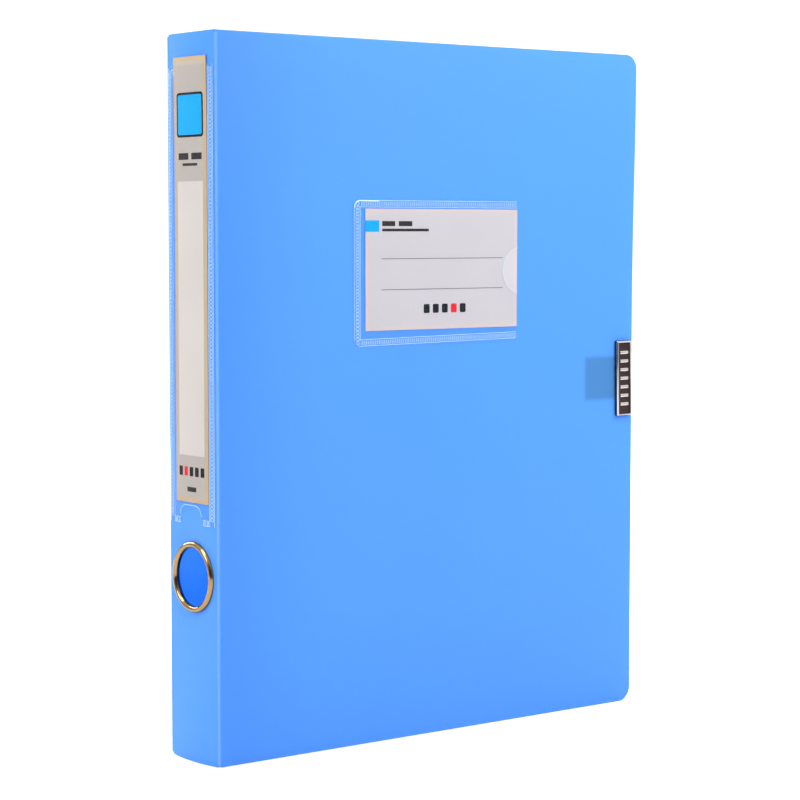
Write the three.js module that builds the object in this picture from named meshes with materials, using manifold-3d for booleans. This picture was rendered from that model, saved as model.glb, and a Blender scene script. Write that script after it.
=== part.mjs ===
// A plastic file box: a folded tray with a spine and a cover on creased hinges, label pockets,
// a brass finger ring, a clasp plate and a pair of hook-and-loop pads. Millimetres, +Z up.
// x runs from the spine to the fore edge, y from the cover to the back, z from the foot to the head.
import * as THREE from 'three';
import { mergeVertices } from 'three/addons/utils/BufferGeometryUtils.js';
import Module from 'manifold-3d';

const wasm = await Module();
wasm.setup();

// Whole box
const boxHeight = 310;
const boxDepth = 238; // outer face of the spine to the free edge of the cover
const boxWidth = 37; // outer face of the cover to outer face of the back

// Sheet, its folds and its creased hinges
const sheet = 1.0;
const foldRadius = 1.3; // outside of a fold
const creaseSheet = 0.5; // sheet left under a pressed crease
const creaseGroove = 0.2; // depth pressed into the outer face
const creaseReach = 1.4; // pressed strip beside a hinge, from the outer corner
const lipGap = 0.28; // from the hinge axis to the round nose of a lip
const lipRoot = 0.5; // length of a lip inside its panel
const footGap = 0.4; // cover and spine stop this far inside the tray's ends
const coverCornerRadius = 6.5;

// Tray
const coverOverhang = 1.0; // cover past the fore-edge wall
const wallGap = 0.4; // spine to the ends of the head and foot walls
const layerGap = 0.15; // between the flaps that lie on each other
const flapDepth = 62; // deepest reach of the head and foot flaps
const flapRise = 24; // their free edge falls back by this much at the spine
const flapKnee = 70; // from the fore edge to where the slope starts
const flapChamfer = 18;
const foreFlapDepth = 67;
const foreFlapTaper = 14; // the fore flap is cut back by this much at each end
const flapEndGap = 0.5;
const foldStrip = 2.5; // back strip that carries the fore-edge wall
const tabHeight = 26; // welded corner tabs inside the fore-edge wall
const tabInset = 4; // tabs start and stop this far inside the wall's width

// Hook-and-loop pads, and the clasp plate over them
const padWidth = 22.5;
const padHeight = 20.4;
const hookThickness = 1.0;
const loopThickness = 1.0;
const padInset = 7; // pads to the free edge of the cover
const claspWidth = 9.5;
const claspHeight = 36;
const claspThickness = 2.0;
const claspInset = 1.8; // plate to the free edge of the cover
const claspRise = 1.5; // clasp and pads above mid height
const claspBevel = 0.5;
const claspRim = 1.4;
const claspRecess = 1.0;
const ribCount = 7;
const ribLength = 5.2;
const ribThickness = 1.7;
const ribPitch = 4.1;
const ribHeight = 0.7; // above the floor of the recess

// Clearances where pieces are bonded or lie on each other
const seatGap = 0.05;
const mateGap = 0.1;

// Label pockets of clear film, and their cards
const film = 0.25;
const cardThickness = 0.3;
const weldStep = 0.3; // wall of film between a weld and the card space
const frontWeld = 4;
const frontPocketDrop = 69.6; // head of the cover to the pocket
const frontPocketInset = 71; // spine face to the pocket
const frontCardWidth = 87.2;
const frontCardHeight = 53.4;
const frontCardSide = 2.6; // card to the closed side
const frontCardHead = 0.1; // card to the weld above it
const frontCardFoot = 1.9; // card to the weld below it
const frontMouth = 0.2; // film past the card at the open side
const frontCornerRadius = 3;
const frontNotchDepth = 8.8;
const frontNotchHeight = 23.4;
const spineWeld = 3.9;
const spinePocketMargin = 2; // pocket to the outer corners of the spine
const spinePocketHeight = 194;
const spinePocketRise = 7.25; // finger ring to the pocket
const spineReturn = 3; // height of the short welds at its foot
const spineNotchWidth = 16;
const spineNotchHeight = 8.4;
const spineNotchRadius = 5;
const spineCardSlack = 0.3; // card to each side weld
const spineCardHeight = 188;
const spineCardLift = 6.5; // foot weld to the card

// Brass finger ring
const ringFoot = 64.25; // foot of the box to the ring
const ringRadius = 15.25; // outside of the bead
const ringBore = 12.15;
const ringBead = 2.0; // height of the bead
const ringBarrel = 0.35; // wall of the barrel
const ringHoleGap = 0.15;
const ringFlare = 14; // radius of the lip rolled over inside
const ringFlareThickness = 0.4;
const washerRadius = 15;
const washerThickness = 0.4;

// Places that follow from the sizes above
const creaseAxis = creaseGroove + creaseSheet / 2;
const foreFace = boxDepth - coverOverhang;
const foreFlapFace = sheet + seatGap + hookThickness + mateGap + loopThickness + seatGap;
const endFlapFace = foreFlapFace - layerGap - sheet;
const wallStart = sheet + wallGap;
const claspMiddle = boxHeight / 2 + claspRise;
const spineMiddle = boxWidth / 2;
const ringMiddle = ringFoot + ringRadius;
const ringHole = ringBore + ringBarrel + ringHoleGap;
const cardSpace = seatGap + cardThickness + seatGap; // from the panel to the film over a card
const filmFace = cardSpace + film;

// Solid from a closed geometry, and back
function solid(geometry) {
  const bare = geometry.clone();
  bare.deleteAttribute('normal');
  bare.deleteAttribute('uv');
  const merged = mergeVertices(bare, 1e-5);
  return new wasm.Manifold(new wasm.Mesh({
    numProp: 3,
    vertProperties: new Float32Array(merged.attributes.position.array),
    triVerts: new Uint32Array(merged.index.array),
  }));
}

function geometryOf(body) {
  const mesh = body.getMesh();
  const geometry = new THREE.BufferGeometry();
  geometry.setAttribute('position', new THREE.BufferAttribute(mesh.vertProperties, 3));
  geometry.setIndex(new THREE.BufferAttribute(mesh.triVerts, 1));
  return geometry;
}

// A flat outline pushed along z, along x (drawn in y and z) or along y (drawn in x and z)
function alongZ(shape, from, to) {
  const geometry = new THREE.ExtrudeGeometry(shape, { depth: to - from, bevelEnabled: false, curveSegments: 10 });
  return solid(geometry.translate(0, 0, from));
}

function alongX(shape, from, to) {
  const geometry = new THREE.ExtrudeGeometry(shape, { depth: to - from, bevelEnabled: false, curveSegments: 10 });
  geometry.applyMatrix4(new THREE.Matrix4().makeBasis(
    new THREE.Vector3(0, 1, 0), new THREE.Vector3(0, 0, 1), new THREE.Vector3(1, 0, 0)));
  return solid(geometry.translate(from, 0, 0));
}

function alongY(shape, from, to) {
  const geometry = new THREE.ExtrudeGeometry(shape, { depth: to - from, bevelEnabled: false, curveSegments: 10 });
  geometry.applyMatrix4(new THREE.Matrix4().makeBasis(
    new THREE.Vector3(1, 0, 0), new THREE.Vector3(0, 0, 1), new THREE.Vector3(0, -1, 0)));
  return solid(geometry.translate(0, to, 0));
}

function block(low, high) {
  const size = high.map((value, i) => value - low[i]);
  const middle = high.map((value, i) => (value + low[i]) / 2);
  return solid(new THREE.BoxGeometry(...size).translate(...middle));
}

function outline(points) {
  return new THREE.Shape(points.map(([u, v]) => new THREE.Vector2(u, v)));
}

function rectangle(left, bottom, right, top, radii = [0, 0, 0, 0]) {
  const [leftFoot, rightFoot, rightHead, leftHead] = radii;
  const shape = new THREE.Shape();
  shape.moveTo(left + leftFoot, bottom);
  shape.lineTo(right - rightFoot, bottom);
  if (rightFoot) shape.absarc(right - rightFoot, bottom + rightFoot, rightFoot, -Math.PI / 2, 0);
  shape.lineTo(right, top - rightHead);
  if (rightHead) shape.absarc(right - rightHead, top - rightHead, rightHead, 0, Math.PI / 2);
  shape.lineTo(left + leftHead, top);
  if (leftHead) shape.absarc(left + leftHead, top - leftHead, leftHead, Math.PI / 2, Math.PI);
  shape.lineTo(left, bottom + leftFoot);
  if (leftFoot) shape.absarc(left + leftFoot, bottom + leftFoot, leftFoot, Math.PI, Math.PI * 1.5);
  return shape;
}

// Section of a sheet folded at right angles, always to the same side, its outer face through the corners
function foldedSection(corners, steps = 4) {
  const unit = (from, to) => {
    const length = Math.hypot(to[0] - from[0], to[1] - from[1]);
    return [(to[0] - from[0]) / length, (to[1] - from[1]) / length];
  };
  const face = (depth) => {
    const points = [];
    const last = corners.length - 1;
    const firstTurn = unit(corners[1], corners[2]);
    points.push([corners[0][0] + firstTurn[0] * depth, corners[0][1] + firstTurn[1] * depth]);
    for (let i = 1; i < last; i += 1) {
      const into = unit(corners[i - 1], corners[i]);
      const away = unit(corners[i], corners[i + 1]);
      const centre = [0, 1].map((k) => corners[i][k] + (away[k] - into[k]) * foldRadius);
      for (let step = 0; step <= steps; step += 1) {
        const turn = (Math.PI / 2) * (step / steps);
        points.push([0, 1].map((k) => centre[k]
          + (foldRadius - depth) * (into[k] * Math.sin(turn) - away[k] * Math.cos(turn))));
      }
    }
    const lastTurn = unit(corners[last - 2], corners[last - 1]);
    points.push([corners[last][0] - lastTurn[0] * depth, corners[last][1] - lastTurn[1] * depth]);
    return points;
  };
  return outline([...face(0), ...face(sheet).reverse()]);
}

// Thin lip with a round nose beside a hinge; place turns (distance from the corner, depth) into x and y
function creaseLip(place) {
  const radius = creaseSheet / 2;
  const nose = creaseAxis + lipGap + radius;
  const points = [];
  const steps = 6;
  for (let step = 0; step <= steps; step += 1) {
    const turn = Math.PI / 2 + Math.PI * (step / steps);
    points.push([nose + radius * Math.cos(turn), creaseAxis + radius * Math.sin(turn)]);
  }
  points.push([creaseReach + lipRoot, creaseAxis - radius]);
  points.push([creaseReach + lipRoot, creaseAxis + radius]);
  return alongZ(outline(points.map(([s, n]) => place(s, n))), footGap, boxHeight - footGap);
}

// Tray: back, head and foot walls with their flaps, and the fore-edge wall with its flap, one folded sheet
function makeTray() {
  const wallEnd = foreFace - sheet;
  const section = foldedSection([
    [endFlapFace, flapDepth],
    [endFlapFace, 0],
    [boxWidth, 0],
    [boxWidth, boxHeight],
    [endFlapFace, boxHeight],
    [endFlapFace, boxHeight - flapDepth],
  ]);
  let body = alongX(section, wallStart, wallEnd);

  const flapFront = endFlapFace - seatGap;
  const flapBack = endFlapFace + sheet + layerGap / 2;
  const spineSide = flapDepth - flapRise;
  const knee = foreFace - flapKnee;
  const slope = flapRise / (knee - wallStart);
  const past = 1;
  const freeEdge = [
    [wallStart - past, spineSide - slope * past],
    [knee, flapDepth],
    [wallEnd - flapChamfer, flapDepth],
    [wallEnd + past, flapDepth - flapChamfer - past],
    [wallEnd + past, flapDepth + past],
    [wallStart - past, flapDepth + past],
  ];
  body = body.subtract(alongY(outline(freeEdge), flapFront, flapBack));
  body = body.subtract(alongY(outline(freeEdge.map(([x, z]) => [x, boxHeight - z])), flapFront, flapBack));

  const foreSection = foldedSection([
    [foreFace - foldStrip, boxWidth],
    [foreFace, boxWidth],
    [foreFace, foreFlapFace],
    [foreFace - foreFlapDepth, foreFlapFace],
  ]);
  let fore = alongZ(foreSection, 0, boxHeight);
  const foreFree = foreFace - foreFlapDepth;
  const flapEnd = [
    [wallEnd, -past],
    [wallEnd, sheet + flapEndGap],
    [foreFree, foreFlapTaper],
    [foreFree - past, foreFlapTaper],
    [foreFree - past, -past],
  ];
  const foreFront = foreFlapFace - layerGap / 2;
  const foreBack = foreFlapFace + sheet + layerGap / 2;
  fore = fore.subtract(alongY(outline(flapEnd), foreFront, foreBack));
  fore = fore.subtract(alongY(outline(flapEnd.map(([x, z]) => [x, boxHeight - z])), foreFront, foreBack));
  body = body.add(fore);

  const tabFront = foreFlapFace + sheet + tabInset;
  const tabBack = boxWidth - sheet - tabInset;
  const tabRoot = sheet / 2;
  body = body.add(block([wallEnd - sheet, tabFront, tabRoot], [wallEnd, tabBack, tabHeight]));
  body = body.add(block([wallEnd - sheet, tabFront, boxHeight - tabHeight],
    [wallEnd, tabBack, boxHeight - tabRoot]));

  return body.add(creaseLip((s, n) => [s, boxWidth - n]));
}

// Spine: flat panel with the finger hole and a lip beside each hinge
function makeSpine() {
  const shape = rectangle(creaseReach, footGap, boxWidth - creaseReach, boxHeight - footGap);
  const hole = new THREE.Path();
  hole.absarc(spineMiddle, ringMiddle, ringHole, 0, Math.PI * 2);
  shape.holes.push(hole);
  const geometry = new THREE.ExtrudeGeometry(shape, { depth: sheet, bevelEnabled: false, curveSegments: 48 });
  geometry.applyMatrix4(new THREE.Matrix4().makeBasis(
    new THREE.Vector3(0, 1, 0), new THREE.Vector3(0, 0, 1), new THREE.Vector3(1, 0, 0)));
  return solid(geometry)
    .add(creaseLip((s, n) => [n, s]))
    .add(creaseLip((s, n) => [n, boxWidth - s]));
}

function makeCover() {
  const radii = [0, coverCornerRadius, coverCornerRadius, 0];
  const shape = rectangle(creaseReach, footGap, boxDepth, boxHeight - footGap, radii);
  return alongY(shape, 0, sheet).add(creaseLip((s, n) => [s, n]));
}

// Pocket on the cover: welded at the head, foot and spine side, open towards the fore edge
const frontSpaceLeft = frontPocketInset + frontWeld;
const frontSpaceFoot = boxHeight - frontPocketDrop - frontWeld - frontCardHead - frontCardHeight - frontCardFoot;
const frontSpaceHead = boxHeight - frontPocketDrop - frontWeld;
const frontMouthEdge = frontSpaceLeft + frontCardSide + frontCardWidth + frontMouth;

function makeFrontPocket() {
  const foot = frontSpaceFoot - frontWeld;
  const head = frontSpaceHead + frontWeld;
  const shape = rectangle(frontPocketInset, foot, frontMouthEdge, head,
    [frontCornerRadius, 0, 0, frontCornerRadius]);
  let body = alongY(shape, -filmFace, -seatGap);
  const past = 1;
  body = body.subtract(block([frontSpaceLeft, -cardSpace, frontSpaceFoot],
    [frontMouthEdge + past, past, frontSpaceHead]));
  const weldFace = -seatGap - film;
  body = body.subtract(block([frontPocketInset - past, -filmFace - past, foot - past],
    [frontSpaceLeft - weldStep, weldFace, head + past]));
  body = body.subtract(block([frontPocketInset - past, -filmFace - past, foot - past],
    [frontMouthEdge + past, weldFace, frontSpaceFoot - weldStep]));
  body = body.subtract(block([frontPocketInset - past, -filmFace - past, frontSpaceHead + weldStep],
    [frontMouthEdge + past, weldFace, head + past]));
  return body.subtract(alongY(frontNotch(), -filmFace - past, past));
}

// Thumb notch: a shallow arc of a circle through its two ends on the open edge
function frontNotch() {
  const half = frontNotchHeight / 2;
  const radius = (half * half + frontNotchDepth * frontNotchDepth) / (2 * frontNotchDepth);
  const centre = frontMouthEdge - frontNotchDepth + radius;
  const middle = (frontSpaceFoot + frontSpaceHead) / 2;
  const spread = Math.asin(Math.min(1, half / radius));
  const points = [];
  const steps = 16;
  for (let step = 0; step <= steps; step += 1) {
    const turn = Math.PI - spread + 2 * spread * (step / steps);
    points.push([centre + radius * Math.cos(turn), middle + radius * Math.sin(turn)]);
  }
  const past = 1;
  points.push([frontMouthEdge + past, middle - half]);
  points.push([frontMouthEdge + past, middle + half]);
  return outline(points);
}

function makeFrontCard() {
  const left = frontSpaceLeft + frontCardSide;
  const foot = frontSpaceFoot + frontCardFoot;
  return block([left, -seatGap - cardThickness, foot],
    [left + frontCardWidth, -seatGap, foot + frontCardHeight]);
}

// Pocket on the spine: side welds, two short welds at the foot beside a thumb notch, open at the head
const spinePocketFoot = ringMiddle + ringRadius + spinePocketRise;
const spinePocketHead = spinePocketFoot + spinePocketHeight;
const spineSpaceLow = spinePocketMargin + spineWeld;
const spineSpaceHigh = boxWidth - spinePocketMargin - spineWeld;

function makeSpinePocket() {
  const low = spinePocketMargin;
  const high = boxWidth - spinePocketMargin;
  const past = 1;
  let body = alongX(rectangle(low, spinePocketFoot, high, spinePocketHead), -filmFace, -seatGap);
  body = body.subtract(block([-cardSpace, spineSpaceLow, spinePocketFoot + spineReturn],
    [past, spineSpaceHigh, spinePocketHead + past]));
  const weldFace = -seatGap - film;
  const front = -filmFace - past;
  body = body.subtract(block([front, low - past, spinePocketFoot - past],
    [weldFace, spineSpaceLow - weldStep, spinePocketHead + past]));
  body = body.subtract(block([front, spineSpaceHigh + weldStep, spinePocketFoot - past],
    [weldFace, high + past, spinePocketHead + past]));
  body = body.subtract(block([front, low - past, spinePocketFoot - past],
    [weldFace, high + past, spinePocketFoot + spineReturn - weldStep]));
  const notch = rectangle(spineMiddle - spineNotchWidth / 2, spinePocketFoot - past,
    spineMiddle + spineNotchWidth / 2, spinePocketFoot + spineNotchHeight,
    [0, 0, spineNotchRadius, spineNotchRadius]);
  return body.subtract(alongX(notch, front, past));
}

function makeSpineCard() {
  const foot = spinePocketFoot + spineReturn + spineCardLift;
  return block([-seatGap - cardThickness, spineSpaceLow + spineCardSlack, foot],
    [-seatGap, spineSpaceHigh - spineCardSlack, foot + spineCardHeight]);
}

// Turned pieces on the axis of the finger hole, drawn as (radius, distance out of the spine)
function turned(profile) {
  const closed = [...profile, profile[0]].map(([radius, out]) => new THREE.Vector2(radius, out));
  const geometry = new THREE.LatheGeometry(closed, 48);
  geometry.rotateZ(Math.PI / 2);
  return solid(geometry.translate(0, spineMiddle, ringMiddle));
}

function makeRing() {
  const beadMiddle = (ringBore + ringRadius) / 2;
  const beadHalf = (ringRadius - ringBore) / 2;
  const inside = -sheet - seatGap - washerThickness - seatGap;
  const profile = [];
  profile.push([ringBore, inside - ringFlareThickness]);
  profile.push([ringFlare, inside - ringFlareThickness]);
  profile.push([ringFlare, inside]);
  profile.push([ringBore + ringBarrel, inside]);
  profile.push([ringBore + ringBarrel, seatGap]);
  const steps = 10;
  for (let step = 0; step <= steps; step += 1) {
    const turn = Math.PI * (step / steps);
    profile.push([beadMiddle + beadHalf * Math.cos(turn), seatGap + (ringBead - seatGap) * Math.sin(turn)]);
  }
  return turned(profile);
}

function makeWasher() {
  const outer = -sheet - seatGap;
  const inner = outer - washerThickness;
  return turned([[ringHole, inner], [washerRadius, inner], [washerRadius, outer], [ringHole, outer]]);
}

// Clasp plate: bevelled frame round a sunk field with plain raised ribs
function makeClasp() {
  const right = boxDepth - claspInset;
  const left = right - claspWidth;
  const foot = claspMiddle - claspHeight / 2;
  const head = claspMiddle + claspHeight / 2;
  const shape = rectangle(left + claspBevel, foot + claspBevel, right - claspBevel, head - claspBevel);
  const geometry = new THREE.ExtrudeGeometry(shape, {
    depth: claspThickness,
    bevelEnabled: true,
    bevelSegments: 1,
    bevelSize: claspBevel,
    bevelThickness: claspBevel,
    steps: 1,
  });
  geometry.applyMatrix4(new THREE.Matrix4().makeBasis(
    new THREE.Vector3(1, 0, 0), new THREE.Vector3(0, 0, 1), new THREE.Vector3(0, -1, 0)));
  const face = -seatGap - claspThickness;
  geometry.translate(0, face + claspThickness + claspBevel, 0);
  const past = 1;
  let body = solid(geometry);
  body = body.subtract(block([left - past, -seatGap, foot - past], [right + past, claspThickness + past, head + past]));
  const floor = face + claspRecess;
  body = body.subtract(block([left + claspRim, face - past, foot + claspRim],
    [right - claspRim, floor, head - claspRim]));
  const middle = (left + right) / 2;
  const root = claspThickness / 4;
  for (let rib = 0; rib < ribCount; rib += 1) {
    const height = claspMiddle + (rib - (ribCount - 1) / 2) * ribPitch;
    body = body.add(block([middle - ribLength / 2, floor - ribHeight, height - ribThickness / 2],
      [middle + ribLength / 2, floor + root, height + ribThickness / 2]));
  }
  return body;
}

function makePad(from, thickness) {
  const right = boxDepth - padInset;
  return block([right - padWidth, from, claspMiddle - padHeight / 2],
    [right, from + thickness, claspMiddle + padHeight / 2]);
}

// Finishes
function finish(color, roughness, metalness = 0, opacity = 1) {
  return new THREE.MeshStandardMaterial({
    color, roughness, metalness, opacity, transparent: opacity < 1, side: THREE.FrontSide,
  });
}

const fileBox = new THREE.Group();

function place(name, body, material) {
  const mesh = new THREE.Mesh(geometryOf(body), material);
  mesh.name = name;
  fileBox.add(mesh);
}

place('tray_sheet', makeTray(), finish(0x4f97fb, 0.45));
place('spine_panel', makeSpine(), finish(0x5faffd, 0.45));
place('front_cover', makeCover(), finish(0x5fa9fd, 0.45));
place('hook_pad', makePad(sheet + seatGap, hookThickness), finish(0x3f5f9a, 0.95));
place('loop_pad', makePad(foreFlapFace - seatGap - loopThickness, loopThickness), finish(0x46659f, 1.0));
place('front_pocket_film', makeFrontPocket(), finish(0xcfe2ff, 0.15, 0, 0.35));
place('front_card', makeFrontCard(), finish(0xdad4d8, 0.8));
place('spine_pocket_film', makeSpinePocket(), finish(0xcfe2ff, 0.15, 0, 0.35));
place('spine_card', makeSpineCard(), finish(0xc3bbb6, 0.8));
place('finger_ring', makeRing(), finish(0xd9a94e, 0.2, 1));
place('finger_ring_washer', makeWasher(), finish(0xd9a94e, 0.3, 1));
place('clasp_plate', makeClasp(), finish(0xc8c4c6, 0.15, 1));

// Stand the box with the middle of its foot at the origin
const bounds = new THREE.Box3().setFromObject(fileBox);
const middle = bounds.getCenter(new THREE.Vector3());
fileBox.position.set(-middle.x, -middle.y, -bounds.min.z);

export default fileBox;
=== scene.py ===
import math

import bpy
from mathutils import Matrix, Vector, noise


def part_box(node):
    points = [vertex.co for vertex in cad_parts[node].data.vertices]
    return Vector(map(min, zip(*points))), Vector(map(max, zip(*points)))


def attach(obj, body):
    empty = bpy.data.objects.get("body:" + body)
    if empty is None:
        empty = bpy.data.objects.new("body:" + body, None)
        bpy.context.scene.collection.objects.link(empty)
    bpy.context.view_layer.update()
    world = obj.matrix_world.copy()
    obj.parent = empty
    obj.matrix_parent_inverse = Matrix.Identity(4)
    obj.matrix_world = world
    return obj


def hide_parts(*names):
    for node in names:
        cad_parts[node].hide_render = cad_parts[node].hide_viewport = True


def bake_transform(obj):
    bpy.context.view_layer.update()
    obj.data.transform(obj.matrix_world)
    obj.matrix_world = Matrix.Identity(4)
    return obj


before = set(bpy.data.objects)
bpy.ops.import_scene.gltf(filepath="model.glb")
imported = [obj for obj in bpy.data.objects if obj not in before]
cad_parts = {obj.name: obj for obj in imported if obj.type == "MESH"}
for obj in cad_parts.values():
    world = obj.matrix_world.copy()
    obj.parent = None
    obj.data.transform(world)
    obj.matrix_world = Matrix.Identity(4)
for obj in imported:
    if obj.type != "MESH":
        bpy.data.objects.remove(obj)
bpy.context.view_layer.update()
mm = 0.001

# Faces of the box that everything is placed from
coverLow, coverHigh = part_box("front_cover")
spineLow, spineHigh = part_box("spine_panel")
trayLow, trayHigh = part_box("tray_sheet")
cornerX = spineLow.x  # outer face of the spine, in metres
cornerY = coverLow.y  # outer face of the cover, in metres
boxDepth = (coverHigh.x - cornerX) / mm  # from here on sizes are in millimetres
boxWidth = (trayHigh.y - cornerY) / mm
boxHeight = (trayHigh.z - trayLow.z) / mm
sheetThickness = (spineHigh.x - spineLow.x) / mm
panelFoot = coverLow.z / mm
panelHead = coverHigh.z / mm


def boxOf(node):
    # a node's corners from the box's front corner: x, depth behind the cover, height
    low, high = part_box(node)
    return ([(low.x - cornerX) / mm, (low.y - cornerY) / mm, low.z / mm],
            [(high.x - cornerX) / mm, (high.y - cornerY) / mm, high.z / mm])


def smooth(edge0, edge1, value):
    t = min(1.0, max(0.0, (value - edge0) / (edge1 - edge0)))
    return t * t * (3 - 2 * t)


def spread(start, stop, count):
    return [start + (stop - start) * i / count for i in range(count + 1)]


def evenly(start, stop, pitch):
    # places about a pitch apart, half a pitch in from both ends
    count = int((stop - start) / pitch)
    return [start + (stop - start) * (i + 0.5) / count for i in range(count)]


def cornerSteps(radius, degrees):
    # distances from the end of a rounded corner, closest together where it turns fastest
    return [radius * (1 - math.cos(math.radians(a))) for a in range(0, 91, degrees)]


def cornerInset(radius, near):
    # how far a rounded edge stands back at a distance near from its end
    return radius - math.sqrt(max(0.0, radius ** 2 - max(0.0, radius - near) ** 2))


# Camera at the photograph's angle
cameraSettings = {
    "place": (-0.66387, -0.837705, 0.22649),
    "pitch": -4.0946,
    "yaw": 38.087,
    "lens": 106.14,
    "sensor": 36,
}


def makeCamera():
    data = bpy.data.cameras.new("photoCamera")
    data.lens = cameraSettings["lens"]
    data.sensor_width = cameraSettings["sensor"]
    camera = bpy.data.objects.new("photoCamera", data)
    bpy.context.scene.collection.objects.link(camera)
    camera.location = cameraSettings["place"]
    pitch = math.radians(90 + cameraSettings["pitch"])
    camera.rotation_euler = (pitch, 0, -math.radians(cameraSettings["yaw"]))
    bpy.context.scene.camera = camera


# Light: a white studio, bright overhead and on the right, dark where the camera stands
lightSettings = {
    "horizonLeft": 0.52,
    "horizonRight": 0.72,
    "rightWay": (0.62, -0.78, 0),
    "rightRamp": (-0.6, 0.9),
    "overhead": 1.15,
    "overheadRamp": (0.15, 0.75),
    "darkTowards": (-0.62, -0.78, 0.06),
    "darkRamp": (0.6, 0.9),
    "darkShare": 0.88,
    "backdrop": 1.2,
    "aim": (0, 0, 0.15),
    "lamps": {
        "key": {"place": (-1.5, 0.15, 1.2), "size": 0.9, "power": 13.5},
        "fill": {"place": (0.36, -0.52, 0.70), "size": 0.4, "power": 6.0},
        "top": {"place": (-0.55, 0.0, 1.3), "size": 0.45, "power": 4.8},
        "back": {"place": (0.1, 1.3, 0.8), "size": 0.9, "power": 28},
    },
}


def makeLight(name, settings):
    data = bpy.data.lights.new(name, "AREA")
    data.size = settings["size"]
    data.energy = settings["power"]
    lamp = bpy.data.objects.new(name, data)
    bpy.context.scene.collection.objects.link(lamp)
    lamp.location = settings["place"]
    aim = Vector(lightSettings["aim"]) - lamp.location
    lamp.rotation_euler = aim.to_track_quat("-Z", "Y").to_euler()


def makeRoom():
    room = lightSettings
    world = bpy.data.worlds.new("whiteStudio")
    world.use_nodes = True
    tree = world.node_tree
    background = tree.nodes["Background"]
    background.inputs["Color"].default_value = (1, 1, 1, 1)
    direction = tree.nodes.new("ShaderNodeTexCoord").outputs["Generated"]
    sideways = rampBetween(tree, alongWay(tree, direction, room["rightWay"]), *room["rightRamp"])
    span = room["horizonRight"] - room["horizonLeft"]
    horizon = calc(tree, "MULTIPLY_ADD", sideways, span, room["horizonLeft"])
    above = rampBetween(tree, alongWay(tree, direction, (0, 0, 1)), *room["overheadRamp"])
    level = calc(tree, "MULTIPLY_ADD", horizon, oneMinus(tree, above),
                 calc(tree, "MULTIPLY", above, room["overhead"]))
    dark = rampBetween(tree, alongWay(tree, direction, room["darkTowards"]), *room["darkRamp"])
    level = calc(tree, "MULTIPLY", level, oneMinus(tree, calc(tree, "MULTIPLY", dark, room["darkShare"])))
    seen = tree.nodes.new("ShaderNodeLightPath").outputs["Is Camera Ray"]
    strength = calc(tree, "MAXIMUM", level, calc(tree, "MULTIPLY", seen, room["backdrop"]))
    tree.links.new(strength, background.inputs["Strength"])
    bpy.context.scene.world = world
    bpy.context.scene.view_settings.view_transform = "Standard"
    for name, settings in room["lamps"].items():
        makeLight(name + "Light", settings)


# Node helpers
def newMaterial(name):
    material = bpy.data.materials.new(name)
    material.use_nodes = True
    tree = material.node_tree
    return material, tree, tree.nodes["Principled BSDF"]


def feed(tree, value, socket):
    if isinstance(value, bpy.types.NodeSocket):
        tree.links.new(value, socket)
    else:
        socket.default_value = value


def addNode(tree, kind, **values):
    made = tree.nodes.new(kind)
    for key, value in values.items():
        if hasattr(made, key):
            setattr(made, key, value)
        else:
            feed(tree, value, made.inputs[key])
    return made


def calc(tree, operation, first, second=0.0, third=None):
    made = addNode(tree, "ShaderNodeMath", operation=operation)
    for index, value in enumerate((first, second, third)):
        if value is not None:
            feed(tree, value, made.inputs[index])
    return made.outputs[0]


def oneMinus(tree, value):
    return calc(tree, "SUBTRACT", 1.0, value)


def mixTones(tree, share, first, second):
    return calc(tree, "MULTIPLY_ADD", first, share, calc(tree, "MULTIPLY", second, 1 - share))


def blendColour(tree, share, first, second):
    made = addNode(tree, "ShaderNodeMix", data_type="RGBA", Factor=share, A=first, B=second)
    return made.outputs["Result"]


def rampBetween(tree, value, low, high):
    made = addNode(tree, "ShaderNodeMapRange", interpolation_type="SMOOTHSTEP", Value=value)
    made.inputs["From Min"].default_value = low
    made.inputs["From Max"].default_value = high
    return made.outputs["Result"]


def alongWay(tree, direction, way):
    made = addNode(tree, "ShaderNodeVectorMath", operation="DOT_PRODUCT")
    tree.links.new(direction, made.inputs[0])
    made.inputs[1].default_value = way
    return made.outputs["Value"]


def objectPlace(tree):
    return tree.nodes.new("ShaderNodeTexCoord").outputs["Object"]


def placeAxes(tree):
    return addNode(tree, "ShaderNodeSeparateXYZ", Vector=objectPlace(tree)).outputs


def addNoise(tree, place, scale, detail, rough=0.5):
    made = addNode(tree, "ShaderNodeTexNoise", Vector=place, Scale=scale, Detail=detail, Roughness=rough)
    return made.outputs["Fac"]


def newGroup(name, inputs, outputs):
    tree = bpy.data.node_groups.new(name, "ShaderNodeTree")
    for label, start in inputs.items():
        socket = tree.interface.new_socket(label, in_out="INPUT", socket_type="NodeSocketFloat")
        socket.default_value = start
    for label in outputs:
        tree.interface.new_socket(label, in_out="OUTPUT", socket_type="NodeSocketFloat")
    return tree, tree.nodes.new("NodeGroupInput").outputs, tree.nodes.new("NodeGroupOutput").inputs


def useGroup(tree, name, **values):
    made = tree.nodes.new("ShaderNodeGroup")
    made.node_tree = groups[name]
    for key, value in values.items():
        made.inputs[key].default_value = value
    return made.outputs


def setFinish(shader, roughness, specular):
    shader.inputs["Roughness"].default_value = roughness
    shader.inputs["Specular IOR Level"].default_value = specular


def setBump(tree, shader, height, strength, depth):
    bump = addNode(tree, "ShaderNodeBump", Height=height, Strength=strength, Distance=depth)
    tree.links.new(bump.outputs["Normal"], shader.inputs["Normal"])


def mixShaders(tree, share, first, second):
    mixed = tree.nodes.new("ShaderNodeMixShader")
    feed(tree, share, mixed.inputs[0])
    tree.links.new(first.outputs["BSDF"], mixed.inputs[1])
    tree.links.new(second.outputs["BSDF"], mixed.inputs[2])
    tree.links.new(mixed.outputs["Shader"], tree.nodes["Material Output"].inputs["Surface"])


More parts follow.
